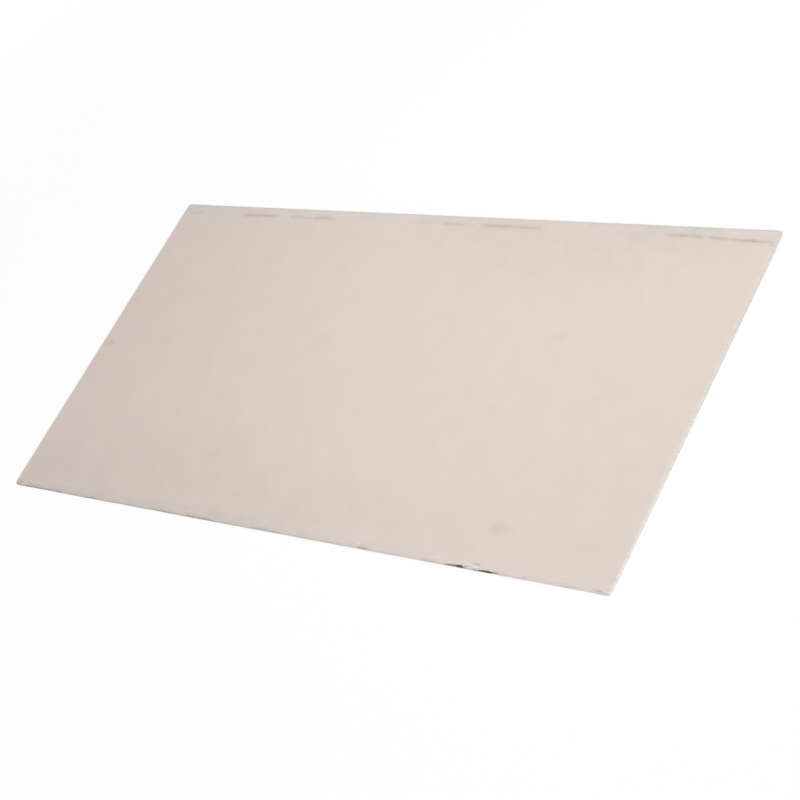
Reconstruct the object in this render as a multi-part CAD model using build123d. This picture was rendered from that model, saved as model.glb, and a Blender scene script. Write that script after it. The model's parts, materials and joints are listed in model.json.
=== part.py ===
from build123d import *
import os
from math import isclose

# A full sheet of gypsum drywall, in millimetres.
# It lies face down, so the back, with its lapped paper, is on top.
# X runs along the sheet, Y across it and Z up from the face.
# The origin is the middle of the flat face that the sheet rests on.

# Overall size: length between the cut ends, width over the bound edges, thickness of the field.
SHEET_LENGTH = 2438.4
SHEET_WIDTH = 1219.2
SHEET_THICKNESS = 12.7

# Tapered long edges: the face rises towards both bound edges, so that joints can be filled flush.
TAPER_WIDTH = 57.0
TAPER_DEPTH = 1.8
TAPER_EASE_RADIUS = 400.0

# Bound edge: the face paper is folded up round the core, which leaves a slightly full wall.
EDGE_BULGE = 0.6
FACE_ARRIS_RADIUS = 1.6
BACK_ARRIS_RADIUS = 1.2

# Back: the folded face paper laps onto it, and the liner paper between the laps stands above them.
LAP_WIDTH = 35.0
LINER_THICKNESS = 0.35

# Marks on the near long edge, where its back arris is knocked off and the core shows.
# Each is placed by the distance from the right-hand end to its middle,
# and by its height above the middle of the edge wall. Its slope is in degrees, up to the right.
END_GOUGE_FROM_END = 410.0
END_GOUGE_LENGTH = 84.0
END_GOUGE_DEPTH = 3.4
END_GOUGE_RISE = 3.4
END_GOUGE_SLOPE = 4.0

INNER_GOUGE_FROM_END = 522.0
INNER_GOUGE_LENGTH = 72.0
INNER_GOUGE_DEPTH = 3.6
INNER_GOUGE_RISE = 4.8
INNER_GOUGE_SLOPE = 1.4

NICK_FROM_END = 865.0
NICK_LENGTH = 44.0
NICK_DEPTH = 2.4
NICK_RISE = 4.2
NICK_SLOPE = 0.0

# Places that follow from the sizes.
edge_line = SHEET_WIDTH / 2
wall_line = edge_line - EDGE_BULGE
taper_start = edge_line - TAPER_WIDTH
lap_line = edge_line - LAP_WIDTH
lap_level = SHEET_THICKNESS - LINER_THICKNESS
wall_middle = (TAPER_DEPTH + lap_level) / 2


def corner_pair(sketch, across, up):
    """The two mirrored corners of a section that lie `across` from its middle and `up` from the face."""
    return [
        corner
        for corner in sketch.vertices()
        if isclose(abs(corner.X), across, abs_tol=1e-6) and isclose(corner.Y, up, abs_tol=1e-6)
    ]


def cross_section():
    """The section across the sheet: flat face, tapers, bound edges, lapped strips and liner."""
    with BuildSketch() as section:
        with BuildLine():
            face = Line((0, 0), (taper_start, 0))
            taper = Line(face @ 1, (wall_line, TAPER_DEPTH))
            wall = ThreePointArc(taper @ 1, (edge_line, wall_middle), (wall_line, lap_level))
            lap = Line(wall @ 1, (lap_line, lap_level))
            liner_edge = Line(lap @ 1, (lap_line, SHEET_THICKNESS))
            Line(liner_edge @ 1, (0, SHEET_THICKNESS))
            mirror(about=Plane.YZ)
        make_face()
        fillet(corner_pair(section, taper_start, 0), TAPER_EASE_RADIUS)
        fillet(corner_pair(section, wall_line, TAPER_DEPTH), FACE_ARRIS_RADIUS)
        fillet(corner_pair(section, wall_line, lap_level), BACK_ARRIS_RADIUS)
    return section.sketch


def edge_mark(from_end, length, depth, rise, slope):
    """The spindle that a mark takes out of the near edge: an arc turned about its own chord."""
    with BuildSketch() as half_spindle:
        with BuildLine():
            bow = SagittaArc((-length / 2, 0), (length / 2, 0), depth)
            Line(bow @ 1, bow @ 0)
        make_face()
    spindle = revolve(half_spindle.sketch, axis=Axis.X)
    middle = Pos(SHEET_LENGTH / 2 - from_end, -edge_line, wall_middle + rise)
    return middle * Rot(0, -slope, 0) * spindle


board = extrude(Plane.YZ * cross_section(), amount=SHEET_LENGTH / 2, both=True)
board -= edge_mark(END_GOUGE_FROM_END, END_GOUGE_LENGTH, END_GOUGE_DEPTH, END_GOUGE_RISE, END_GOUGE_SLOPE)
board -= edge_mark(
    INNER_GOUGE_FROM_END, INNER_GOUGE_LENGTH, INNER_GOUGE_DEPTH, INNER_GOUGE_RISE, INNER_GOUGE_SLOPE
)
board -= edge_mark(NICK_FROM_END, NICK_LENGTH, NICK_DEPTH, NICK_RISE, NICK_SLOPE)

os.makedirs("parts", exist_ok=True)
export_step(board, "parts/drywall_sheet.step")
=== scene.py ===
"""A full sheet of gypsum drywall lying face down: its foamed core, its face paper folded round both
tapered edges and lapped onto the back, its liner paper, and the knocks along one long edge."""

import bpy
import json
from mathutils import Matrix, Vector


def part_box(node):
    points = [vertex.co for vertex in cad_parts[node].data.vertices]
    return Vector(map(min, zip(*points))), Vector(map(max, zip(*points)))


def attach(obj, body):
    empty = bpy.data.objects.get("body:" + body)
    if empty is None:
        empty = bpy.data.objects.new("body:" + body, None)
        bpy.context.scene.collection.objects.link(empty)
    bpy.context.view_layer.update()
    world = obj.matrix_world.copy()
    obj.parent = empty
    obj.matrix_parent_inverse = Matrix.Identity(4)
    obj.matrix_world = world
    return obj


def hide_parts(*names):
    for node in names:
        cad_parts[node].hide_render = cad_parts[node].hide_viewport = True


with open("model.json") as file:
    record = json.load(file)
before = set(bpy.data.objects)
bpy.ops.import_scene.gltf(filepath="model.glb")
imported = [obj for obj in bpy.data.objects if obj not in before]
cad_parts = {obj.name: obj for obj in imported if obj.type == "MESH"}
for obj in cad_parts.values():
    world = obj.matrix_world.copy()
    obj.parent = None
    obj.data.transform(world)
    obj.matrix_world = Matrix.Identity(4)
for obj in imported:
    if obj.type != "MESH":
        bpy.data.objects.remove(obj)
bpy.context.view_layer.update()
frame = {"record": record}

import json
import math
from collections import namedtuple

import bpy
import numpy as np
from bpy.props import FloatProperty, FloatVectorProperty, PointerProperty
from mathutils import Matrix, Vector

bl_info = {
    "name": "Drywall sheet",
    "version": (1, 0, 0),
    "blender": (4, 5, 0),
    "location": "3D View > Sidebar > Drywall",
    "description": "Gypsum board with paper-bound tapered edges, lapped paper, liner and edge damage",
    "category": "Add Mesh",
}

MM = 0.001
NODE = frame["record"]["subparts"][0]["node"]
LOW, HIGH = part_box(NODE)
HALF_LENGTH = min(HIGH.x, -LOW.x)
HALF_WIDTH = min(HIGH.y, -LOW.y)
THICKNESS = HIGH.z

# Places in millimetres round the skin from the back corner, where the section changes: on the back just
# before the back arris, on the face just past the face arris, and past the taper.
BACK_ARRIS = -2
FACE_ARRIS = 14
TAPER_END = 72

# A distance in metres from the near back corner that no mark reaches, for places on the far side.
OUT_OF_REACH = 1.0

# Stretches of the near edge with marks, in millimetres from the middle of the sheet.
NICK_STRETCH = (320, 395)
GOUGE_STRETCH = (535, 870)

# Marks where the near long edge was knocked or rubbed, in millimetres. from_end is the distance from the
# right-hand end to the middle of the mark. down is the distance round the skin from the back corner to
# that middle: positive on the edge wall, negative on the back. climb is how far it rises over its length.
# The last field says how dark the hollow is painted, from 0 to 1: dirt packed into it, and painted
# shade that stands for the shadow inside it.
Mark = namedtuple("Mark", "from_end length down breadth depth climb grime", defaults=(0.0, 0.0))
END_GOUGE = Mark(from_end=411, length=104, down=1.6, breadth=9.0, depth=3.0, climb=5.0, grime=0.8)
END_PIT = Mark(from_end=412, length=58, down=3.2, breadth=16.0, depth=3.4, climb=3.0, grime=1.0)
INNER_GOUGE = Mark(from_end=522, length=92, down=0.0, breadth=9.0, depth=2.8, climb=4.0, grime=0.85)
INNER_PIT = Mark(from_end=507, length=42, down=1.2, breadth=15.0, depth=3.4, climb=1.0, grime=1.0)
NICK = Mark(from_end=866, length=42, down=0.4, breadth=9.0, depth=2.2, grime=0.5)
PEELED_LAP = Mark(from_end=461, length=58, down=-8.5, breadth=12.0, depth=0.6, climb=-3.0, grime=0.1)
PICKED_LAP = Mark(from_end=882, length=18, down=-12.0, breadth=7.0, depth=0.5)
CHIPPED_CORNER = Mark(from_end=12, length=22, down=-5.0, breadth=6.0, depth=0.5)
FAR_CORNER = Mark(from_end=2430, length=26, down=1.0, breadth=9.0, depth=1.0, grime=0.6)
HOLLOWS = (END_GOUGE, END_PIT, INNER_GOUGE, INNER_PIT, NICK)
MARKS = (*HOLLOWS, PEELED_LAP, PICKED_LAP, CHIPPED_CORNER, FAR_CORNER)

# Scrapes on the near lap where the paper is furred up: middle from the right-hand end, distance from the
# back corner, length and breadth in millimetres, and how pale (above 0) or dirty (below 0) it is.
SCRAPES = (
    (588, -17, 46, 7, 0.6), (553, -9, 34, 5, 0.6), (495, -16, 56, 8, 0.9), (444, -16, 48, 9, -0.55),
    (477, -5, 24, 8, -0.4), (462, -1, 14, 12, 0.7), (836, -10, 16, 6, 0.4), (866, -5, 64, 16, -0.28),
    (36, -4, 44, 9, -0.4), (49, -12, 14, 6, 0.9), (262, -3, 70, 9, -0.3), (196, -2, 50, 8, -0.25),
    (2340, -6, 120, 14, -0.2),
)

# Stretches of the far seam that are painted dark, for old paste and dust and for painted shadow
# beside the liner's loose edge: start and end in millimetres from the left-hand end, and how dark each
# is, from 0 to 1.
SEAM_STAINS_AND_SHADOWS = (
    (30, 95, 0.35), (305, 470, 0.95), (530, 606, 0.75), (612, 634, 0.7), (640, 728, 0.95),
    (1105, 1150, 0.3), (1205, 1292, 0.75), (1370, 1500, 1.0), (1480, 1600, 0.8), (2072, 2190, 0.85),
    (2215, 2290, 0.8), (2286, 2378, 1.25), (2378, 2434, 0.7),
)

# Stretches of the far lap that damp has turned grey, given in the same way.
DAMP_STRETCHES = ((-60, 110, 0.75), (130, 240, 0.35), (690, 820, 0.2), (830, 1000, 0.6), (1070, 1250, 0.4),
                  (1430, 1500, 0.3), (2110, 2230, 0.6), (2410, 2500, 0.7))

# Soft dark patches on the back, in millimetres from the middle of the sheet: x, y, half length, half
# breadth, and how far the paper darkens there, from 0 to 1. The first five are wide: painted shade
# where the light falls off across the sheet. The rest are smudges from handling.
SMUDGES_AND_SHADE = (
    (480, 640, 900, 380, 0.055), (880, 600, 420, 110, 0.02), (-560, -600, 950, 420, 0.045),
    (300, -560, 700, 220, 0.02), (-380, -606, 900, 50, 0.035),
    (1211, 555, 14, 13, 0.1), (-1197, -598, 13, 15, 0.14),
    (785, -474, 52, 26, 0.065), (298, 436, 46, 30, 0.03), (658, 182, 40, 26, 0.04),
    (856, 336, 30, 40, 0.03), (-1188, -12, 36, 26, 0.09), (732, -555, 14, 9, 0.05),
    (1022, -490, 26, 14, 0.03), (1100, -480, 60, 44, 0.025), (-915, 24, 34, 26, 0.025),
    (897, -16, 26, 16, 0.03), (560, -84, 40, 18, 0.02),
)

# Small bright spots in the liner where the top ply is picked off: x, y and radius in millimetres.
PICKED = ((806, -444, 3.6), (1044, -489, 2.8), (947, -490, 2.2), (505, -512, 1.8), (-640, 300, 1.6))

# How hard each corner is knocked, from 0 to 1: its sides in X and Y, and the share.
CORNER_KNOCKS = ((-1, -1, 1.0), (1, -1, 0.7), (-1, 1, 0.5), (1, 1, 1.0))

# A noise node seldom leaves this range, so patterns are spread from it.
NOISE_RANGE = (0.3, 0.7)
EASED = {"interpolation_type": "SMOOTHSTEP"}
WHITE = (1, 1, 1, 1)


def srgb(hex_colour):
    """An sRGB hex value as linear red, green and blue."""
    parts = [int(hex_colour[i:i + 2], 16) / 255 for i in (1, 3, 5)]
    return tuple(p / 12.92 if p <= 0.04045 else ((p + 0.055) / 1.055) ** 2.4 for p in parts)


def size(name, description, millimetres):
    """A size property, given in millimetres and held in metres."""
    return FloatProperty(name=name, description=description, default=millimetres * MM, unit="LENGTH",
                         precision=5)


def number(name, description, default, unit="NONE"):
    """A number property, held in metres or watts if it has a unit."""
    return FloatProperty(name=name, description=description, default=default, unit=unit)


def location(name, description, default):
    """A property for a place: X, Y and Z in metres."""
    return FloatVectorProperty(name=name, description=description, default=default, subtype="XYZ",
                               unit="LENGTH")


def degrees(name, description, default):
    """An angle property, given in degrees and held in radians."""
    return FloatProperty(name=name, description=description, default=math.radians(default),
                         subtype="ANGLE")


def colour(name, description, hex_colour):
    """A colour property, given in sRGB hex and held as linear values."""
    return FloatVectorProperty(name=name, description=description, default=srgb(hex_colour),
                               subtype="COLOR", min=0, max=1)


class DrywallSizes(bpy.types.PropertyGroup):
    """Sizes of the section and of the papers. The overall size comes from the frame."""

    taper_width: size("Taper width", "Width of the sloping strip along each long edge", 57)
    taper_depth: size("Taper depth", "How far the face rises at each long edge", 1.8)
    taper_ease: size("Taper ease", "Radius that joins the taper to the flat face", 400)
    edge_bulge: size("Edge bulge", "How far the bound edge stands out at mid height", 0.6)
    face_arris: size("Face arris", "Radius where the edge meets the face", 1.6)
    back_arris: size("Back arris", "Radius where the edge meets the back", 1.2)
    lap: size("Lap", "Width of folded face paper that shows on the back", 35)
    tuck: size("Tuck", "Width of folded face paper hidden under the liner", 15)
    paper: size("Paper", "Thickness of the face paper and of the liner", 0.35)
    press: size("Press", "How far the face paper stretches into a hollow before it tears", 0.8)
    end_grain: size("End grain", "Depth of the roughness of the cut ends", 0.3)
    crush: size("Corner crush", "How far the corners are knocked in", 2.2)
    wave: size("Edge wave", "How far the near edge waves inwards", 1.5)
    near_turn: size("Near turn", "How far the liner's near edge is pressed down", 0.31)
    far_turn: size("Far turn", "How far the liner's far edge is pressed down", 0.12)


class DrywallColours(bpy.types.PropertyGroup):
    """Colours of the two papers, of the core, of the dirt on them and of the shade painted on them."""

    liner: colour("Liner", "Grey-buff back liner", "#E4D5CC")
    speck: colour("Speck", "Brown flecks in the liner's recycled stock", "#8A7360")
    face: colour("Face paper", "Cream face paper, as it shows on the laps and edges", "#E2D6CE")
    fibre: colour("Torn fibre", "Paper fibre where the top ply is gone", "#F1EBE3")
    gypsum: colour("Gypsum", "Foamed gypsum core", "#ECE6DF")
    gypsum_cloud: colour("Gypsum cloud", "Duller clouds in the core", "#DBD3CA")
    pore: colour("Pore", "Shaded pores of the core", "#9C958B")
    # Painted shade: this dark colour stands for the shadow inside the hollows as well as the dirt in them.
    grime: colour("Grime", "Dirt packed into the hollows", "#332B27")
    # Painted shade: this colour also darkens wide patches where the light falls off across the sheet.
    smudge_and_shade: colour("Smudge", "Dirt rubbed into the papers by handling", "#5E564F")
    # Painted shadow: this colour also stands for the shadow beside the liner's loose far edge.
    paste: colour("Paste", "Old paste and dust along the far seam", "#8A6F60")
    damp: colour("Damp", "Lap paper turned grey by damp", "#D5D5CE")


class DrywallStudio(bpy.types.PropertyGroup):
    """The camera, the two softboxes, the light from all round and the floor."""

    azimuth: degrees("Azimuth", "Heading of the view, 0 looking along +Y", -58.937)
    elevation: degrees("Elevation", "How far the view looks down", 40.269)
    roll: degrees("Roll", "Clockwise roll of the camera", 40.031)
    lens: number("Lens", "Focal length on a 36 mm sensor, in millimetres", 93.571)
    camera_place: location("Camera place", "Where the camera stands", (4.2853, -2.5603, 4.0512))
    main_place: location("Main place", "Where the main softbox hangs", (0.91, 0.87, 4.0))
    main_side: number("Main side", "Side of the main softbox", 1.2, "LENGTH")
    main_power: number("Main power", "Power of the main softbox", 93, "POWER")
    low_place: location("Low place", "Where the low softbox stands", (6.0, -5.5, 1.2))
    low_side: number("Low side", "Side of the low softbox", 2.0, "LENGTH")
    low_power: number("Low power", "Power of the low softbox", 339, "POWER")
    ambient: number("Ambient", "Strength of the light from all round", 0.38)
    below: number("Below", "Strength of the light that reaches the face from below", 0.9)
    floor_side: number("Floor side", "Side of the studio floor", 40, "LENGTH")
    floor_drop: size("Floor drop", "Gap between the sheet's face and the floor", 0.5)
    floor_near: number("Floor near", "Distance at which the floor starts to turn white", 2.0, "LENGTH")
    floor_far: number("Floor far", "Distance from which the floor is pure white", 5.0, "LENGTH")
    floor: colour("Floor", "Matt white studio floor", "#DADADA")


def lattice(i, j, seed):
    """A repeatable value from 0 to 1 at whole-number places: what is left of a large sine."""
    wave = np.sin(i * 127.1 + j * 311.7 + seed * 74.7) * 43758.5453
    return wave - np.floor(wave)


def value_noise(x, y, seed):
    """Noise from -1 to 1: the four lattice values round a point, blended by the curve 3t^2 - 2t^3."""
    i, j = np.floor(x), np.floor(y)
    u, v = (t * t * (3 - 2 * t) for t in (x - i, y - j))
    low = lattice(i, j, seed) * (1 - u) + lattice(i + 1, j, seed) * u
    high = lattice(i, j + 1, seed) * (1 - u) + lattice(i + 1, j + 1, seed) * u
    return 2 * (low * (1 - v) + high * v) - 1


def fractal(x, y, feature, seed, octaves=4):
    """Noise whose largest features are `feature` across. Each octave is half as wide as the one before
    it and 0.55 as strong."""
    shares = [0.55 ** n for n in range(octaves)]
    layers = [value_noise(x / feature * 2 ** n, y / feature * 2 ** n, seed + n) for n in range(octaves)]
    return sum(share * layer for share, layer in zip(shares, layers)) / sum(shares)


def smooth(value, start, end):
    """0 before start and 1 after end, along the curve 3t^2 - 2t^3 between them."""
    t = np.clip((value - start) / (end - start), 0, 1)
    return t * t * (3 - 2 * t)


def graded(stops, steps):
    """Places in metres from the first stop to the last, given in millimetres, with the largest step for
    each stretch between two stops."""
    runs = [
        np.linspace(a, b, max(1, math.ceil(abs(b - a) / step)), endpoint=False)
        for a, b, step in zip(stops, stops[1:], steps)
    ]
    return np.concatenate(runs + [[stops[-1]]]) * MM


def columns(fine, coarse):
    """Places along the sheet: fine steps where the near edge is marked and coarse ones elsewhere."""
    end = HALF_LENGTH / MM
    stops = (-end, -end + 20, *NICK_STRETCH, *GOUGE_STRETCH, end - 30, end)
    return graded(stops, (2, coarse, fine, coarse, fine, coarse, 1.5))[None, :]


def rounded(corners, radii, points=16):
    """A polyline whose inner corners are tangent arcs. An arc of radius r on a turn of angle a leaves
    the line r tan(a/2) before the corner, and its centre lies r to the side of the line there."""
    corners = np.array(corners)
    legs = np.diff(corners, axis=0)
    legs /= np.linalg.norm(legs, axis=1, keepdims=True)
    runs = [corners[:1]]
    for arrive, leave, corner, radius in zip(legs, legs[1:], corners[1:], radii):
        turn = math.atan2(arrive[0] * leave[1] - arrive[1] * leave[0], arrive @ leave)
        start = corner - arrive * radius * math.tan(abs(turn) / 2)
        across = np.array([-arrive[1], arrive[0]]) * math.copysign(radius, turn)
        travel = np.linspace(0, abs(turn), points)[:, None]
        runs.append(start + across * (1 - np.cos(travel)) + arrive * radius * np.sin(travel))
    return np.concatenate([*runs, corners[-1:]])


def travelled(line):
    """Distance along a polyline at each of its points."""
    return np.concatenate([[0], np.cumsum(np.linalg.norm(np.diff(line, axis=0), axis=1))])


def half_section(sizes):
    """Half of the skin in section: points (y, z) and outward normals from the hidden end of the folded
    flap, over the back arris, down the bound edge, round the face arris and along the taper to the
    middle of the face. The edge bulges by a parabola in height. Also gives the distance of each point
    from the back corner, negative on the back."""
    wall = HALF_WIDTH - sizes.edge_bulge
    level = THICKNESS - sizes.paper
    hidden = HALF_WIDTH - sizes.lap - sizes.tuck
    taper = HALF_WIDTH - sizes.taper_width
    corners = [(hidden, level), (wall, level), (wall, sizes.taper_depth), (taper, 0.0), (0.0, 0.0)]
    line = rounded(corners, (sizes.back_arris, sizes.face_arris, sizes.taper_ease))
    far = travelled(line)
    fine_reach, spacing = 130 * MM, 0.2 * MM
    places = np.concatenate([np.arange(0, fine_reach, spacing), far[-1:]])
    y, z = (np.interp(places, far, column) for column in line.T)
    middle, rise = (level + sizes.taper_depth) / 2, (level - sizes.taper_depth) / 2
    bulge = sizes.edge_bulge * np.clip(1 - ((z - middle) / rise) ** 2, 0, 1)
    y = y + bulge * smooth(y, wall - 2 * MM, wall)
    along = np.stack([np.gradient(y), np.gradient(z)], axis=1)
    along /= np.linalg.norm(along, axis=1, keepdims=True)
    normal = np.stack([-along[:, 1], along[:, 0]], axis=1)
    return np.stack([y, z], axis=1), normal, places - (wall - hidden)


def skin_at(sizes, down, side, inset=0.0):
    """Points (y, z) and outward normals of the skin at the given distances from the back corner, on the
    near side (-1) or the far side (1), moved inwards by inset."""
    points, normals, place = half_section(sizes)
    y, z, ny, nz = (np.interp(down, place, column) for column in (*points.T, *normals.T))
    span = np.hypot(ny, nz)
    ny, nz = ny / span, nz / span
    line = np.stack([(y - ny * inset) * side, z - nz * inset], axis=-1)
    return line, np.stack([ny * side, nz], axis=-1)


def wear(x, down):
    """What the marks do at each place of the near edge: the depth of the hollow, the height of the bowl
    from 0 at its rim to 1 at its middle, and how dark it is painted, for dirt and for painted shade in
    the hollow. Each mark is a paraboloid over an ellipse that climbs along the edge, with its rim
    roughened by noise that never reaches past 1.6 half sizes."""
    reach = 1.6
    depth, bowl, grime = (np.zeros(np.broadcast(x, down).shape) for _ in range(3))
    rough = 0.22 * fractal(x, down, 9 * MM, seed=3) + 0.12 * fractal(x, down, 2 * MM, seed=11)
    for mark in MARKS:
        along = x - (HALF_LENGTH - mark.from_end * MM)
        across = down - mark.down * MM + along * mark.climb / mark.length
        span = np.hypot(along / (mark.length / 2 * MM), across / (mark.breadth / 2 * MM))
        height = np.where(span < reach, np.clip(1 - (span + rough) ** 2, 0, 1), 0)
        depth = np.maximum(depth, height * mark.depth * MM)
        bowl = np.maximum(bowl, height)
        # Painted shade: the darkness share stands for the shadow in each hollow as well as its dirt.
        grime = np.maximum(grime, smooth(height, 0.05, 0.45) * mark.grime)
    return depth, bowl, grime


def knocked(points, sizes):
    """The points with each corner of the sheet pushed in and flattened a little, and the near edge made
    to wave. The push at a corner fades by a smooth curve over 16 mm, and the wave over 30 mm."""
    moved = points.copy()
    corner_reach, wave_reach = 16 * MM, 30 * MM
    for sx, sy, strength in CORNER_KNOCKS:
        distance = np.hypot(points[..., 0] - sx * HALF_LENGTH, points[..., 1] - sy * HALF_WIDTH)
        push = strength * smooth(corner_reach - distance, 0, corner_reach)
        moved[..., 0] -= sx * push * sizes.crush
        moved[..., 1] -= sy * push * sizes.crush * 0.8
        moved[..., 2] += (THICKNESS / 2 - points[..., 2]) * push * 0.12
    wave = 0.5 + 0.5 * fractal(points[..., 0], points[..., 0] * 0, 70 * MM, seed=71, octaves=2)
    moved[..., 1] += sizes.wave * wave * smooth(-points[..., 1], HALF_WIDTH - wave_reach, HALF_WIDTH)
    return moved


def scraped(x, down):
    """How furred (up to 1) or dirty (down to -1) the near lap is at each place, from its scrapes: each
    a smooth ellipse, combed along the edge by noise."""
    total = np.zeros(np.broadcast(x, down).shape)
    combed = smooth(fractal(x / 6, down, 1.6 * MM, seed=31), -0.35, 0.25)
    for from_end, place, length_mm, breadth, strength in SCRAPES:
        along = (x - (HALF_LENGTH - from_end * MM)) / (length_mm / 2 * MM)
        across = (down - place * MM) / (breadth / 2 * MM)
        total += strength * smooth(1 - np.hypot(along, across), 0, 0.7) * combed
    return np.clip(total, -1, 1)


def edge_dirt_and_shade(x, down):
    """Darkening of the near wall and its arris, partly dirt from being stood and dragged and partly
    painted shade for the wall turned from the lamps and the light falling off to the left: broken patches
    along the edge, heavier towards the left-hand end, with a fainter band on the back beside the arris."""
    patches = smooth(fractal(x, down * 3, 60 * MM, seed=37), -0.25, 0.4)
    above_face = smooth(26 * MM - down, 0, 14 * MM)
    wall = smooth(down, -2.5 * MM, 0.5 * MM) * above_face
    beside = smooth(down, -14 * MM, -1 * MM) * above_face * (1 - wall)
    leftward = 1 - 0.4 * smooth(x, -0.5, 0.3)
    return leftward * ((0.14 + 0.24 * patches) * wall + (0.01 + 0.13 * patches) * beside)


def drift(x):
    """How far the liner's long edges stand off their nominal lines, towards -Y: the roll bows by a few
    millimetres along the sheet and veers near the right-hand end, and the cut wanders slightly."""
    bow = 3.5 * MM * ((x - 0.08) / 0.95) ** 2 - 1.5 * MM
    veer = 5 * MM * smooth(x, 0.93, 1.13)
    return bow + veer + 0.5 * MM * fractal(x, x * 0, 160 * MM, seed=51)


def stretches(x, table, fade):
    """The strengths of a table of stretches at each place along the sheet, faded at both ends."""
    from_left = x + HALF_LENGTH
    total = np.zeros_like(x)
    for start, end, strength in table:
        begun, ended = (
            smooth(from_left, (place - fade / 2) * MM, (place + fade / 2) * MM) for place in (start, end)
        )
        total = np.maximum(total, (begun - ended) * strength)
    return total


def seam_stain_and_shadow(x, off_seam):
    """How dark the far seam is painted at each place along the sheet and each distance from the seam,
    for paste and dust and for painted shadow beside the liner's loose edge: a band whose middle and
    width wander, strong on the listed stretches, within a wider and fainter one."""
    wander = 1.8 * MM * fractal(x, x * 0, 45 * MM, seed=41)
    width = (10.0 + 3.0 * fractal(x, x * 0, 28 * MM, seed=43)) * MM
    away = np.abs(off_seam - wander)
    band = 0.24 * smooth(width - away, 0, width) * (1 + 0.5 * fractal(x, off_seam, 18 * MM, seed=47))
    halo = 0.05 * smooth(28 * MM - away, 0, 26 * MM)
    return stretches(x, SEAM_STAINS_AND_SHADOWS, 12) * band + stretches(x, SEAM_STAINS_AND_SHADOWS, 60) * halo


def grid_faces(rows, cols, closed=False):
    """The quads of a grid of points, counted row by row, facing the side from which the rows run to the
    right of the columns. A closed grid joins its last row to its first."""
    corner = (np.arange(rows if closed else rows - 1)[:, None] * cols + np.arange(cols - 1)).ravel()
    above = (corner + cols) % (rows * cols)
    return np.stack([corner, above, above + 1, corner + 1], axis=1)


def shell(outer, inner, faces):
    """A closed sheet from matching outer and inner points: the faces, the same faces turned over on the
    inner points, and a quad across each edge that only one face uses."""
    outer, inner = outer.reshape(-1, 3), inner.reshape(-1, 3)
    count = len(outer)
    starts, ends = faces.ravel(), np.roll(faces, -1, axis=1).ravel()
    rim = ~np.isin(starts * count + ends, ends * count + starts)
    a, b = starts[rim], ends[rim]
    edge = np.stack([b, a, a + count, b + count], axis=1)
    return np.concatenate([outer, inner]), [faces, faces[:, ::-1] + count, edge]


def zipper(outer, inner, outer_place, inner_place):
    """Triangles between two closed loops of point numbers that run the same way round from the same
    corner. Each point is placed by its share of the way round. Each step of one loop is joined to the
    point that the other loop has reached by then."""
    outer_end, inner_end = np.append(outer_place[1:], 1), np.append(inner_place[1:], 1)
    inner_reached = inner[np.searchsorted(inner_end, outer_end, side="right") % len(inner)]
    outer_reached = outer[np.searchsorted(outer_end, inner_end, side="left") % len(outer)]
    outer_steps = np.stack([outer, np.roll(outer, -1), inner_reached], axis=1)
    inner_steps = np.stack([np.roll(inner, -1), inner, outer_reached], axis=1)
    return np.concatenate([outer_steps, inner_steps])


def new_piece(name, points, faces, material, attributes):
    """A closed mesh object at the origin from points, groups of faces, and the values of each attribute,
    which start again when there are more points, as on the inner side of a shell. Points that no face
    uses are dropped. It rides on the sheet's body and stands for it."""
    used = np.unique(np.concatenate([group.ravel() for group in faces]))
    number = np.full(len(points), -1)
    number[used] = np.arange(len(used))
    mesh = bpy.data.meshes.new(name)
    mesh.from_pydata(points[used], [], [face for group in faces for face in number[group].tolist()])
    for label, values in attributes.items():
        layer = mesh.attributes.new(label, "FLOAT", "POINT")
        layer.data.foreach_set("value", np.resize(values, len(points)).astype(np.float32)[used])
    if mesh.validate():
        raise RuntimeError(f"{name}: the mesh had faces that don't hold together")
    mesh.shade_smooth()
    mesh.set_sharp_from_angle(angle=math.radians(32))
    mesh.materials.append(material)
    piece = bpy.data.objects.new(name, mesh)
    bpy.context.collection.objects.link(piece)
    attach(piece, "root")
    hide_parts(NODE)


def add(tree, kind, inputs=(), **settings):
    """Adds a node with its settings, and sets or links its inputs, given by name or in the order of
    those in use. A node given as an input is linked by its first output in use."""
    node = tree.nodes.new("ShaderNode" + kind)
    for name, value in settings.items():
        setattr(node, name, value)
    if isinstance(inputs, dict):
        sockets, inputs = [node.inputs[name] for name in inputs], inputs.values()
    else:
        sockets = [socket for socket in node.inputs if socket.enabled]
    for socket, value in zip(sockets, inputs):
        if isinstance(value, bpy.types.Node):
            value = next(output for output in value.outputs if output.enabled)
        if isinstance(value, bpy.types.NodeSocket):
            tree.links.new(value, socket)
        else:
            socket.default_value = value
    return node


def new_material(name):
    """A node material, its tree, and the coordinates on the object, which are all that it holds."""
    material = bpy.data.materials.new(name)
    material.use_nodes = True
    tree = material.node_tree
    tree.nodes.clear()
    return material, tree, add(tree, "TexCoord").outputs["Object"]


def matt(tree, shade, roughness, height, relief, specular):
    """Ends a material in a dull shader with a bump of that relief in metres."""
    bump = add(tree, "Bump", {"Height": height, "Distance": relief, "Strength": 1.0})
    shader = add(tree, "BsdfPrincipled", {
        "Base Color": shade, "Roughness": roughness, "IOR": 1.5, "Specular IOR Level": specular,
        "Normal": bump,
    })
    add(tree, "OutputMaterial", {"Surface": shader})


def rgba(value):
    """A colour with full alpha."""
    return (*value[:3], 1.0)


def grain(tree, coords, feature, detail=4.0, roughness=0.55, stretch=(1, 1, 1)):
    """Noise about 0.5 with features of that size in metres, stretched along the axes."""
    scaled = add(tree, "Mapping", {"Vector": coords, "Scale": tuple(1 / (feature * s) for s in stretch)})
    return add(tree, "TexNoise", {
        "Vector": scaled, "Scale": 1.0, "Detail": detail, "Roughness": roughness,
    })


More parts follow.
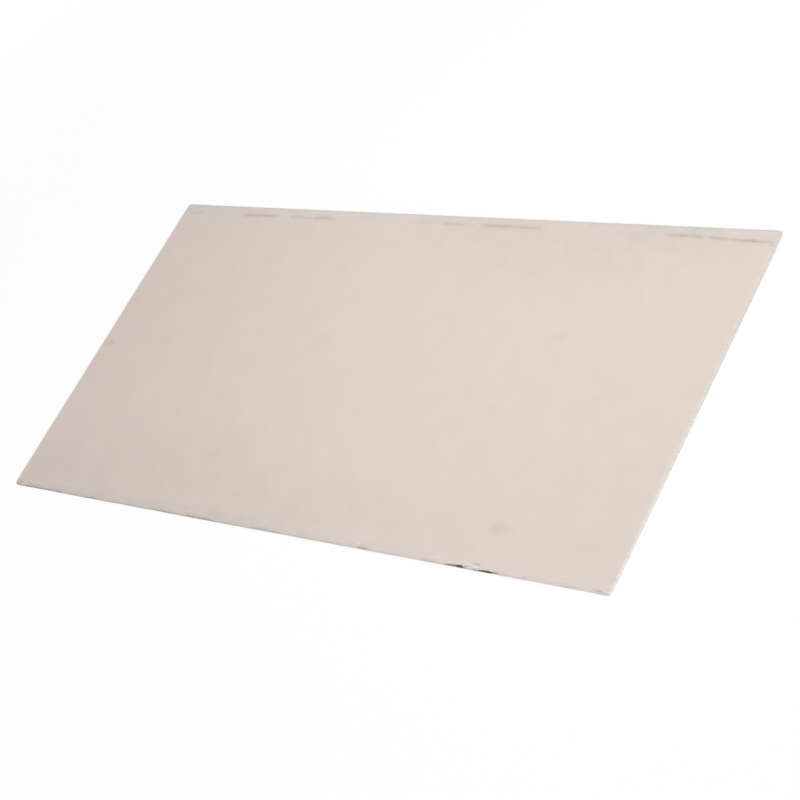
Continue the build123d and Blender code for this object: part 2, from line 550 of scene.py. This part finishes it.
def spot(tree, coords, x, y, half_length, half_breadth, strength):
    """The strength in the middle of an ellipse on the sheet, with sizes in millimetres, and 0 outside."""
    centred = add(tree, "Mapping", {
        "Vector": coords,
        "Location": (-x / half_length, -y / half_breadth, 0),
        "Scale": (1 / (half_length * MM), 1 / (half_breadth * MM), 0),
    })
    reach = add(tree, "VectorMath", (centred,), operation="LENGTH")
    return add(tree, "MapRange", (reach, 0.25, 1.0, strength, 0.0), **EASED)


def board_paper(tree, coords, base, flock):
    """Recycled paper stock: wide clouds of shade, and fibre flocks drawn out along the machine. Real
    flocks are about 1 mm wide, and are drawn 4 mm wide so that they show from across a room."""
    clouds = grain(tree, coords, 90 * MM, detail=3.0)
    flocks = grain(tree, coords, 4 * MM, detail=3.0, stretch=(4, 1, 1))
    wide = add(tree, "MapRange", (clouds, *NOISE_RANGE, 0.988, 1.012), **EASED)
    fine = add(tree, "MapRange", (flocks, *NOISE_RANGE, -flock, flock), **EASED)
    lift = add(tree, "Math", (wide, fine), operation="ADD")
    return add(tree, "VectorMath", (base[:3], lift), operation="SCALE"), flocks


def layered(tree, shade, *layers):
    """A colour with others laid over it in turn, each by its own factor."""
    for factor, colour in layers:
        shade = add(tree, "Mix", (factor, shade, rgba(colour)), data_type="RGBA")
    return shade


def dust(tree, coords):
    """Gypsum dust and cut fibre on the paper beside the two cut ends, fading over 14 mm."""
    x = add(tree, "SeparateXYZ", (coords,)).outputs["X"]
    along = add(tree, "Math", (x,), operation="ABSOLUTE")
    near_cut = add(tree, "MapRange", (along, HALF_LENGTH - 14 * MM, HALF_LENGTH - 3 * MM), **EASED)
    powder = add(tree, "MapRange", (grain(tree, coords, 9 * MM), *NOISE_RANGE, 0.1, 0.28), **EASED)
    return add(tree, "Math", (near_cut, powder), operation="MULTIPLY")


def smudges_and_shade(tree, coords):
    """How dark the paper is at its smudges and at the wide patches of painted shade, broken up by noise.
    """
    dark = 0.0
    for smudge_and_shade in SMUDGES_AND_SHADE:
        dark = add(tree, "Math", (spot(tree, coords, *smudge_and_shade), dark), operation="ADD")
    wander = grain(tree, coords, 30 * MM, detail=3.0)
    uneven = add(tree, "MapRange", (wander, *NOISE_RANGE, 0.85, 1.5), **EASED)
    return add(tree, "Math", (dark, uneven), operation="MULTIPLY")


def flecks(tree, coords, spacing, radius, chance, strength=1.0):
    """The strength on sparse round specks, and 0 between them. The chance is the share of the cells of
    a pattern with that spacing that hold one."""
    cells = add(tree, "TexVoronoi", {"Vector": coords, "Scale": 1 / spacing, "Randomness": 1.0})
    core, rim = 0.4 * radius / spacing, radius / spacing
    near = add(tree, "MapRange", (cells.outputs["Distance"], core, rim, strength, 0.0), **EASED)
    draw = add(tree, "SeparateColor", (cells.outputs["Color"],)).outputs["Red"]
    chosen = add(tree, "Math", (draw, chance), operation="LESS_THAN")
    return add(tree, "Math", (near, chosen), operation="MULTIPLY")


def liner_material(colours):
    """Back liner: grey-buff recycled board, felt-marked and unglazed. Dull, with soft clouds, fibre
    flocks, sparse brown flecks, smudges from handling, wide patches of painted shade where the light
    falls off, a few picked spots, and stains and painted shadow by the far seam."""
    material, tree, coords = new_material("Recycled liner board, felt finish")
    stock, flocks = board_paper(tree, coords, colours.liner, flock=0.012)
    specks = flecks(tree, coords, 26 * MM, 1.6 * MM, chance=0.3, strength=0.25)
    bare = 0.0
    for x, y, radius in PICKED:
        here = spot(tree, coords, x, y, radius * 1.3, radius, strength=0.75)
        bare = add(tree, "Math", (here, bare), operation="MAXIMUM")
    stain_and_shadow = add(tree, "Attribute", attribute_name="stain_and_shadow").outputs["Fac"]
    # Painted shade and shadow go in with the smudges and the seam stain, beside the real dirt.
    shade = layered(tree, stock, (specks, colours.speck), (smudges_and_shade(tree, coords), colours.smudge_and_shade),
                    (bare, colours.fibre), (dust(tree, coords), colours.gypsum), (stain_and_shadow, colours.paste))
    roughness = add(tree, "MapRange", (flocks, *NOISE_RANGE, 0.82, 0.94), **EASED)
    matt(tree, shade, roughness, flocks, 0.05 * MM, specular=0.3)
    return material


def face_material(colours):
    """Face paper: cream calendered paper, pressed smoother than the liner, with patches turned greyish
    by damp, loose pale fibre where it is torn or rubbed, dirt and painted shade on the near edge and in
    its hollows, wide patches of painted shade, and stains and painted shadow by the far seam. Real fibre
    is far thinner than a millimetre, and is drawn in tufts of 2.5 mm so that it shows."""
    material, tree, coords = new_material("Calendered face paper")
    stain_and_shadow, damp, scuff, grime = (
        add(tree, "Attribute", attribute_name=name).outputs["Fac"]
        for name in ("stain_and_shadow", "damp", "scuff", "grime")
    )
    stock, flocks = board_paper(tree, coords, colours.face, flock=0.008)
    clouds = grain(tree, coords, 60 * MM, detail=3.0)
    blotch = add(tree, "MapRange", (clouds, 0.35, 0.6, 0.5, 1.0), **EASED)
    greyed = add(tree, "Math", (damp, blotch), operation="MULTIPLY")
    fuzz = grain(tree, coords, 2.5 * MM, detail=5.0, roughness=0.7, stretch=(3, 1, 1))
    tufts = add(tree, "MapRange", (fuzz, 0.35, 0.6, 0.35, 1.0), **EASED)
    worn = add(tree, "Math", (scuff, tufts), operation="MULTIPLY")
    # Painted shade and shadow go in with the smudges, the seam stain and the grime, beside the real dirt.
    shade = layered(tree, stock, (greyed, colours.damp), (smudges_and_shade(tree, coords), colours.smudge_and_shade),
                    (dust(tree, coords), colours.gypsum), (stain_and_shadow, colours.paste), (worn, colours.fibre),
                    (grime, colours.grime))
    roughness = add(tree, "MapRange", (flocks, *NOISE_RANGE, 0.72, 0.86), **EASED)
    matt(tree, shade, roughness, fuzz, 0.04 * MM, specular=0.35)
    return material


def gypsum_material(colours):
    """Gypsum core: set plaster foamed with air, cut or crushed. Chalk white and powdery, with dirt and
    painted shade where it has been knocked. Its pores are up to 1 mm across, are drawn 1.4 mm wide so
    that they show, and are darkened with painted shade."""
    material, tree, coords = new_material("Foamed gypsum, broken")
    clouds = add(tree, "MapRange", (grain(tree, coords, 14 * MM), *NOISE_RANGE, 0.0, 0.35), **EASED)
    pores = flecks(tree, coords, 2.4 * MM, 0.7 * MM, chance=0.6)
    shaded = add(tree, "Math", (pores, 0.3), operation="MULTIPLY")
    crumbs = grain(tree, coords, 1.5 * MM, detail=6.0, roughness=0.7)
    cover = add(tree, "MapRange", (crumbs, 0.3, 0.55, 1.0, 0.9), **EASED)
    # Painted shade: the hollows are darkened for their shadow as well as for their dirt.
    grime = add(tree, "Attribute", attribute_name="grime").outputs["Fac"]
    dirt_and_shade = add(tree, "Math", (grime, cover), operation="MULTIPLY")
    shade = layered(tree, rgba(colours.gypsum), (clouds, colours.gypsum_cloud), (shaded, colours.pore),
                    (dirt_and_shade, colours.grime))
    sunk = add(tree, "Math", (pores, 0.8), operation="MULTIPLY")
    height = add(tree, "Math", (crumbs, sunk), operation="SUBTRACT")
    matt(tree, shade, 0.95, height, 0.12 * MM, specular=0.15)
    return material


class DRYWALL_OT_gypsum_core(bpy.types.Operator):
    """Casts the core: the section inside the paper carried along the sheet and hollowed by the marks,
    closed by two rough ends"""

    bl_idname = "drywall.gypsum_core"
    bl_label = "Gypsum core"

    def execute(self, context):
        sizes = context.scene.drywall_sizes
        ring, normal, down, corners = self.section(sizes)
        x = columns(1.0, 40)
        x = x[:, np.abs(x[0]) < HALF_LENGTH - 1.2 * MM]
        # The hollows' darkness is dirt and painted shade for the shadow inside them.
        depth, _, grime = wear(x, down[:, None])
        side = np.zeros((len(ring), x.size, 3))
        side[..., 0] = x
        side[..., 1:] = ring[:, None] - normal[:, None] * depth[..., None]
        points, dirt_and_shade = [side.reshape(-1, 3)], [grime.ravel()]
        faces = [grid_faces(len(ring), x.size, closed=True)]
        round_ring = travelled(np.concatenate([ring, ring[:1]]))
        for end in (-1, 1):
            grid, loop, place = self.cut_end(sizes, ring, round_ring, corners, end)
            first = sum(len(group) for group in points)
            edge = np.arange(len(ring)) * x.size + (x.size - 1 if end > 0 else 0)
            ties = zipper(edge, loop + first, round_ring[:-1] / round_ring[-1], place)
            quads = grid_faces(*grid.shape[:2]) + first
            faces += [quads, ties] if end > 0 else [quads[:, ::-1], ties[:, ::-1]]
            points.append(grid.reshape(-1, 3))
            dirt_and_shade.append(np.zeros(grid.shape[0] * grid.shape[1]))
        new_piece("gypsum_core", knocked(np.concatenate(points), sizes), faces,
                  gypsum_material(context.scene.drywall_colours), {"grime": np.concatenate(dirt_and_shade)})
        return {"FINISHED"}

    @staticmethod
    def section(sizes):
        """The closed section of the core, one paper's thickness inside the skin: from the near back
        corner down the near edge, across the face, up the far edge, and back over the top, which steps
        up where the folded flaps end. Also gives each point's distance from the near back corner, out of
        reach of any mark on the far side, and the numbers of the four corners."""
        flap = (sizes.lap + sizes.tuck) / MM
        near = graded((BACK_ARRIS, FACE_ARRIS, 22, TAPER_END), (0.8, 4, 10))
        far = graded((BACK_ARRIS, FACE_ARRIS, TAPER_END), (1.6, 12))
        near_flap = graded((-flap, -20, BACK_ARRIS), (8, 1.5))[:-1]
        far_flap = graded((BACK_ARRIS, -flap), (12,))[1:]
        parts = [
            skin_at(sizes, near, -1, sizes.paper), skin_at(sizes, far[::-1], 1, sizes.paper),
            skin_at(sizes, far_flap, 1, sizes.paper), skin_at(sizes, near_flap, -1, sizes.paper),
        ]
        inner = HALF_WIDTH - sizes.lap - sizes.tuck - 3 * MM
        level = THICKNESS - sizes.paper
        step = np.array([[inner, level], [-inner, level]]), np.array([[0.0, 1.0], [0.0, 1.0]])
        parts.insert(3, step)
        away = [np.full(len(line), OUT_OF_REACH) for line, _ in parts]
        away[0], away[4] = near, near_flap
        near_arris, far_arris = (np.abs(side - FACE_ARRIS * MM).argmin() for side in (near, far))
        last = len(near) + len(far) - 1
        ring, normal = (np.concatenate(group) for group in zip(*parts))
        return ring, normal, np.concatenate(away), (0, near_arris, last - far_arris, last)

    @staticmethod
    def cut_end(sizes, ring, round_ring, corners, end):
        """One cut end: a grid filled in between the four stretches of the section by adding what is
        blended across and what is blended down, less what is blended from the corners, and pushed in by
        noise. Also gives its border as a loop of point numbers with their shares of the way round."""
        rows, cols = 14, 380
        stops = [round_ring[corner] for corner in corners] + [round_ring[-1]]
        closed = np.concatenate([ring, ring[:1]])
        places = [np.linspace(a, b, count)
                  for a, b, count in zip(stops, stops[1:], (rows, cols, rows, cols))]
        near, face, far, back = (
            np.stack([np.interp(place, round_ring, column) for column in closed.T], axis=1)
            for place in places
        )
        u, v = np.linspace(0, 1, cols)[None, :, None], np.linspace(0, 1, rows)[:, None, None]
        across = near[:, None] * (1 - u) + far[::-1, None] * u
        down = back[None, ::-1] * (1 - v) + face[None] * v
        blended = ((near[0] * (1 - u) + far[-1] * u) * (1 - v) + (near[-1] * (1 - u) + far[0] * u) * v)
        section = across + down - blended
        rough = 0.5 + 0.5 * fractal(section[..., 0] + 7 * end, section[..., 1], 6 * MM, seed=61)
        grid = np.concatenate([np.zeros((rows, cols, 1)), section], axis=2)
        grid[..., 0] = end * (HALF_LENGTH - sizes.end_grain * np.clip(rough, 0, 1))
        number = np.arange(rows * cols).reshape(rows, cols)
        loop = np.concatenate([number[:, 0], number[-1, 1:], number[-2::-1, -1], number[0, -2:0:-1]])
        passed = np.concatenate([places[0], places[1][1:], places[2][1:], places[3][1:-1]])
        return grid, loop, passed / round_ring[-1]


class DRYWALL_OT_face_paper(bpy.types.Operator):
    """Folds the face paper round the board: a section line carried along the sheet, pressed into each
    hollow as far as it stretches, and torn away where the hollow is deeper than that"""

    bl_idname = "drywall.face_paper"
    bl_label = "Face paper"

    def execute(self, context):
        sizes = context.scene.drywall_sizes
        lap, flap = sizes.lap / MM, (sizes.lap + sizes.tuck) / MM
        near = graded((-flap, -lap, -20, BACK_ARRIS, FACE_ARRIS, 22, TAPER_END), (5, 4, 1.5, 0.8, 4, 10))
        far = graded((-flap, -lap - 12, -lap + 6, BACK_ARRIS, FACE_ARRIS, TAPER_END), (4, 1.5, 7, 2.7, 12))
        near_line, near_normal = skin_at(sizes, near, -1)
        far_line, far_normal = skin_at(sizes, far[::-1], 1)
        line = np.concatenate([near_line, far_line])
        normal = np.concatenate([near_normal, far_normal])
        down = np.concatenate([near, np.full(len(far), OUT_OF_REACH)])[:, None]
        x = columns(1.0, 14)
        depth, bowl, grime = wear(x, down)
        pull = 0.2 * MM * (0.5 + 0.5 * value_noise(down / (1.7 * MM), down * 0, 5))
        outer = np.zeros((len(line), x.size, 3))
        outer[..., 0] = x - np.sign(x) * pull * smooth(np.abs(x), HALF_LENGTH - MM, HALF_LENGTH)
        outer[..., 1:] = line[:, None] - normal[:, None] * np.minimum(depth, sizes.press)[..., None]
        inner = outer.copy()
        inner[..., 1:] -= normal[:, None] * sizes.paper
        faces = grid_faces(len(line), x.size)
        row, col = np.divmod(faces[:, 0], x.size)
        ragged = 1 + 0.5 * fractal(x[0, col], down[row, 0], 3 * MM, seed=21)
        kept = depth.ravel()[faces].mean(axis=1) < sizes.press * ragged
        scrapes = scraped(x, down)
        scuff = np.clip(0.9 * smooth(bowl, 0.02, 0.3) + scrapes, 0, 1)
        # Painted shade: the near edge's darkening and the hollows' darkness stand partly for shadow,
        # partly for dirt.
        dirt_and_shade = np.maximum(edge_dirt_and_shade(x, down), -scrapes)
        dirt_and_shade[len(near):] = 0
        grime = np.maximum(grime * 0.93, dirt_and_shade)
        stain_and_shadow, damp = np.zeros_like(bowl), np.zeros_like(bowl)
        up = far[::-1, None]
        # Painted shadow: the far seam's stain also stands for the shadow beside the liner's loose edge.
        stain_and_shadow[len(near):] = seam_stain_and_shadow(x, up + sizes.lap + drift(x))
        damp[len(near):] = stretches(x, DAMP_STRETCHES, 60) * smooth(40 * MM - up, 0, 30 * MM)
        points, groups = shell(knocked(outer, sizes), knocked(inner, sizes), faces[kept])
        new_piece("face_paper", points, groups, face_material(context.scene.drywall_colours),
                  {"scuff": scuff, "grime": grime, "stain_and_shadow": stain_and_shadow, "damp": damp})
        return {"FINISHED"}


class DRYWALL_OT_back_liner(bpy.types.Operator):
    """Lays the liner on the back between the laps: a flat grid whose long edges drift and turn down,
    pressed almost flush on the near side"""

    bl_idname = "drywall.back_liner"
    bl_label = "Back liner"

    def execute(self, context):
        sizes = context.scene.drywall_sizes
        edge = (HALF_WIDTH - sizes.lap) / MM
        y = graded((-edge, -edge + 6, -edge + 30, edge - 30, edge - 6, edge), (1, 6, 36, 6, 1))[:, None]
        x = graded((-HALF_LENGTH / MM, HALF_LENGTH / MM), (8,))[None, :]
        border = smooth(np.abs(y), (edge - 30) * MM, edge * MM)
        pressed = np.where(y < 0, sizes.near_turn, sizes.far_turn)
        outer = np.zeros((y.size, x.size, 3))
        outer[..., 0] = x
        outer[..., 1] = y - drift(x) * border
        outer[..., 2] = THICKNESS - pressed * smooth(np.abs(y), (edge - 3) * MM, edge * MM)
        inner = outer.copy()
        inner[..., 2] = THICKNESS - sizes.paper
        # Painted shadow: the far seam's stain also stands for the shadow beside the liner's loose edge.
        stain_and_shadow = np.where(y > 0, seam_stain_and_shadow(x + y * 0, y - edge * MM), 0)
        faces = grid_faces(y.size, x.size)[:, ::-1]
        points, groups = shell(outer, inner, faces)
        new_piece("back_liner", points, groups, liner_material(context.scene.drywall_colours),
                  {"stain_and_shadow": stain_and_shadow})
        return {"FINISHED"}


class DRYWALL_OT_torn_fringe(bpy.types.Operator):
    """Roots torn scraps of face paper round the rims of the hollows, each narrowing to a blunt tip and
    sinking over the hollow"""

    bl_idname = "drywall.torn_fringe"
    bl_label = "Torn fringe"

    def execute(self, context):
        sizes = context.scene.drywall_sizes
        random = np.random.default_rng(7)
        each, along, across = 24, 7, 5
        half = np.repeat([(m.length / 2 * MM, m.breadth / 2 * MM) for m in HOLLOWS], each, axis=0)
        middle = np.repeat([(HALF_LENGTH - m.from_end * MM, m.down * MM) for m in HOLLOWS], each, axis=0)
        climb = np.repeat([m.climb / m.length for m in HOLLOWS], each)
        round_rim = random.choice((-1, 1), len(half)) * math.pi / 2 + random.uniform(-1.1, 1.1, len(half))
        rim = np.stack([np.cos(round_rim), np.sin(round_rim)], axis=1) * half * 0.88
        deep = wear(middle[:, 0] + rim[:, 0], middle[:, 1] + rim[:, 1] - rim[:, 0] * climb)[0]
        rooted = (deep > 0.3 * sizes.press) & (deep < 1.5 * sizes.press)
        half, middle, climb, rim = half[rooted], middle[rooted], climb[rooted], rim[rooted]
        heading = -rim / half[:, 1:] * (0.35, 1.0) + random.normal(0, 0.35, rim.shape)
        heading /= np.linalg.norm(heading, axis=1, keepdims=True)
        reach = random.uniform(0.8, 2.6, len(half)) * MM
        breadth = random.uniform(2.0, 6.5, len(half)) * MM
        reach, breadth, climb = (value[:, None, None] for value in (reach, breadth, climb))
        (rim_x, rim_down), (to_x, to_down), (middle_x, middle_down) = (
            pair.T[..., None, None] for pair in (rim, heading, middle)
        )
        s, t = np.linspace(0, 1, along)[:, None], np.linspace(-0.5, 0.5, across)
        narrow = breadth * t * (1 - 0.6 * s ** 1.5)
        forth = reach * s
        x = rim_x + to_x * forth - to_down * narrow
        down = rim_down + to_down * forth + to_x * narrow - x * climb + middle_down
        x = x + middle_x
        depth, _, grime = wear(x, down)
        line, normal = skin_at(sizes, down, -1)
        sunk = np.minimum(depth, sizes.press) - 0.06 * MM
        sunk = sunk + 0.45 * s ** 2 * np.maximum(depth - sizes.press, 0)
        outer = np.concatenate([x[..., None], line - normal * sunk[..., None]], axis=-1)
        inner = outer.copy()
        inner[..., 1:] -= normal * 0.18 * MM
        strip = grid_faces(along, across)[:, ::-1]
        faces = (strip + np.arange(len(half))[:, None, None] * along * across).reshape(-1, 4)
        points, groups = shell(knocked(outer, sizes), knocked(inner, sizes), faces)
        # Painted shade: the scraps over the hollows take part of the hollows' darkness, for dirt and
        # shadow.
        new_piece("torn_fringe", points, groups, face_material(context.scene.drywall_colours),
                  {"scuff": 0.5, "grime": grime * 0.65})
        return {"FINISHED"}


class DRYWALL_OT_studio(bpy.types.Operator):
    """Sets the stage: a white floor that is see-through from below, also for the light on the face, a
    softbox overhead and one low on the camera's side, light from all round and the camera"""

    bl_idname = "drywall.studio"
    bl_label = "Studio"

    def execute(self, context):
        studio = context.scene.drywall_studio
        self.floor(studio)
        self.softbox("main_softbox", studio.main_place, studio.main_side, studio.main_power)
        self.softbox("low_softbox", studio.low_place, studio.low_side, studio.low_power)
        self.world(context.scene, studio)
        self.camera(context.scene, studio)
        return {"FINISHED"}

    @staticmethod
    def seen(tree):
        """1 for what the camera sees directly, in a reflection or through glass."""
        rays = add(tree, "LightPath").outputs
        direct = add(tree, "Math", (rays["Is Camera Ray"], rays["Is Glossy Ray"]), operation="MAXIMUM")
        return add(tree, "Math", (direct, rays["Is Transmission Ray"]), operation="MAXIMUM")

    @staticmethod
    def covered(tree, coords):
        """1 on the part of the floor that the sheet covers."""
        place = add(tree, "SeparateXYZ", (coords,)).outputs
        in_length = add(tree, "Math", (place["X"], 0.0, HALF_LENGTH - MM), operation="COMPARE")
        in_width = add(tree, "Math", (place["Y"], 0.0, HALF_WIDTH - 2 * MM), operation="COMPARE")
        return add(tree, "Math", (in_length, in_width), operation="MULTIPLY")

    def floor(self, studio):
        """A square under the sheet. What is seen of it is mostly white of its own, with enough lit paint
        near the sheet to hold its shadow. It lies a hair below the face, so that the two never meet, and
        lets the light through to it from below."""
        half, z = studio.floor_side / 2, -studio.floor_drop
        mesh = bpy.data.meshes.new("studio_floor")
        mesh.from_pydata([(-half, -half, z), (half, -half, z), (half, half, z), (-half, half, z)], [],
                         [(0, 1, 2, 3)])
        material, tree, coords = new_material("Matt white studio paint")
        paint = add(tree, "BsdfDiffuse", (rgba(studio.floor),))
        white = add(tree, "Emission", (WHITE, 1.03))
        reach = add(tree, "VectorMath", (coords,), operation="LENGTH")
        whiteness = add(tree, "MapRange", (reach, studio.floor_near, studio.floor_far, 0.9, 1.0), **EASED)
        shown = add(tree, "MixShader", (whiteness, paint, white))
        clear = add(tree, "BsdfTransparent")
        lit = add(tree, "MixShader", (self.covered(tree, coords), paint, clear))
        top = add(tree, "MixShader", (self.seen(tree), lit, shown))
        from_below = add(tree, "NewGeometry").outputs["Backfacing"]
        surface = add(tree, "MixShader", (from_below, top, clear))
        add(tree, "OutputMaterial", {"Surface": surface})
        mesh.materials.append(material)
        floor = bpy.data.objects.new("studio_floor", mesh)
        bpy.context.collection.objects.link(floor)

    @staticmethod
    def softbox(name, place, side, power):
        """A square softbox aimed at the middle of the sheet."""
        light = bpy.data.lights.new(name, "AREA")
        light.shape = "SQUARE"
        light.size = side
        light.energy = power
        lamp = bpy.data.objects.new(name, light)
        lamp.location = place
        lamp.rotation_euler = (-Vector(place)).to_track_quat("-Z", "Y").to_euler()
        lamp.visible_camera = False
        bpy.context.collection.objects.link(lamp)

    def world(self, scene, studio):
        """Even grey light on the object, brighter from below, where only the sheet's face meets it, and
        white where the camera sees past the floor."""
        world = bpy.data.worlds.new("Studio light")
        world.use_nodes = True
        tree = world.node_tree
        tree.nodes.clear()
        height = add(tree, "SeparateXYZ", (add(tree, "TexCoord").outputs["Generated"],)).outputs["Z"]
        strength = add(tree, "MapRange", (height, -0.1, 0.0, studio.below, studio.ambient), **EASED)
        light = add(tree, "Background", (WHITE, strength))
        white = add(tree, "Background", (WHITE, 1.0))
        add(tree, "OutputWorld", {"Surface": add(tree, "MixShader", (self.seen(tree), light, white))})
        scene.world = world
        scene.view_settings.view_transform = "Standard"

    @staticmethod
    def camera(scene, studio):
        """The camera at its place, turned to its heading and elevation and then rolled clockwise."""
        heading, dip = studio.azimuth, studio.elevation
        forward = Vector((math.sin(heading) * math.cos(dip), math.cos(heading) * math.cos(dip),
                          -math.sin(dip)))
        level = Vector((math.cos(heading), -math.sin(heading), 0))
        right = Matrix.Rotation(studio.roll, 3, forward) @ level
        up = right.cross(forward)
        data = bpy.data.cameras.new("camera")
        data.lens = studio.lens
        data.sensor_width = 36
        camera = bpy.data.objects.new("camera", data)
        turned = Matrix((right, up, -forward)).transposed().to_4x4()
        camera.matrix_world = Matrix.Translation(studio.camera_place) @ turned
        bpy.context.collection.objects.link(camera)
        scene.camera = camera


class DRYWALL_PT_sheet(bpy.types.Panel):
    """Lists the pieces of the sheet and the values that shape them"""

    bl_idname = "DRYWALL_PT_sheet"
    bl_label = "Drywall sheet"
    bl_space_type = "VIEW_3D"
    bl_region_type = "UI"
    bl_category = "Drywall"

    def draw(self, context):
        for operator in OPERATORS:
            self.layout.operator(operator.bl_idname)
        for name, group in GROUPS.items():
            box = self.layout.box()
            for value in group.__annotations__:
                box.prop(getattr(context.scene, name), value)


GROUPS = {"drywall_sizes": DrywallSizes, "drywall_colours": DrywallColours,
          "drywall_studio": DrywallStudio}
OPERATORS = (DRYWALL_OT_gypsum_core, DRYWALL_OT_face_paper, DRYWALL_OT_back_liner,
             DRYWALL_OT_torn_fringe, DRYWALL_OT_studio)
CLASSES = (*GROUPS.values(), *OPERATORS, DRYWALL_PT_sheet)


def register():
    """Registers the classes and puts the property groups on the scene."""
    for item in CLASSES:
        bpy.utils.register_class(item)
    for name, group in GROUPS.items():
        setattr(bpy.types.Scene, name, PointerProperty(type=group))


def unregister():
    """Takes the property groups off the scene and unregisters the classes."""
    for name in GROUPS:
        delattr(bpy.types.Scene, name)
    for item in reversed(CLASSES):
        bpy.utils.unregister_class(item)


def main():
    """Builds the sheet and the stage."""
    register()
    bpy.ops.drywall.gypsum_core()
    bpy.ops.drywall.face_paper()
    bpy.ops.drywall.back_liner()
    bpy.ops.drywall.torn_fringe()
    bpy.ops.drywall.studio()


if __name__ == "__main__":
    main()
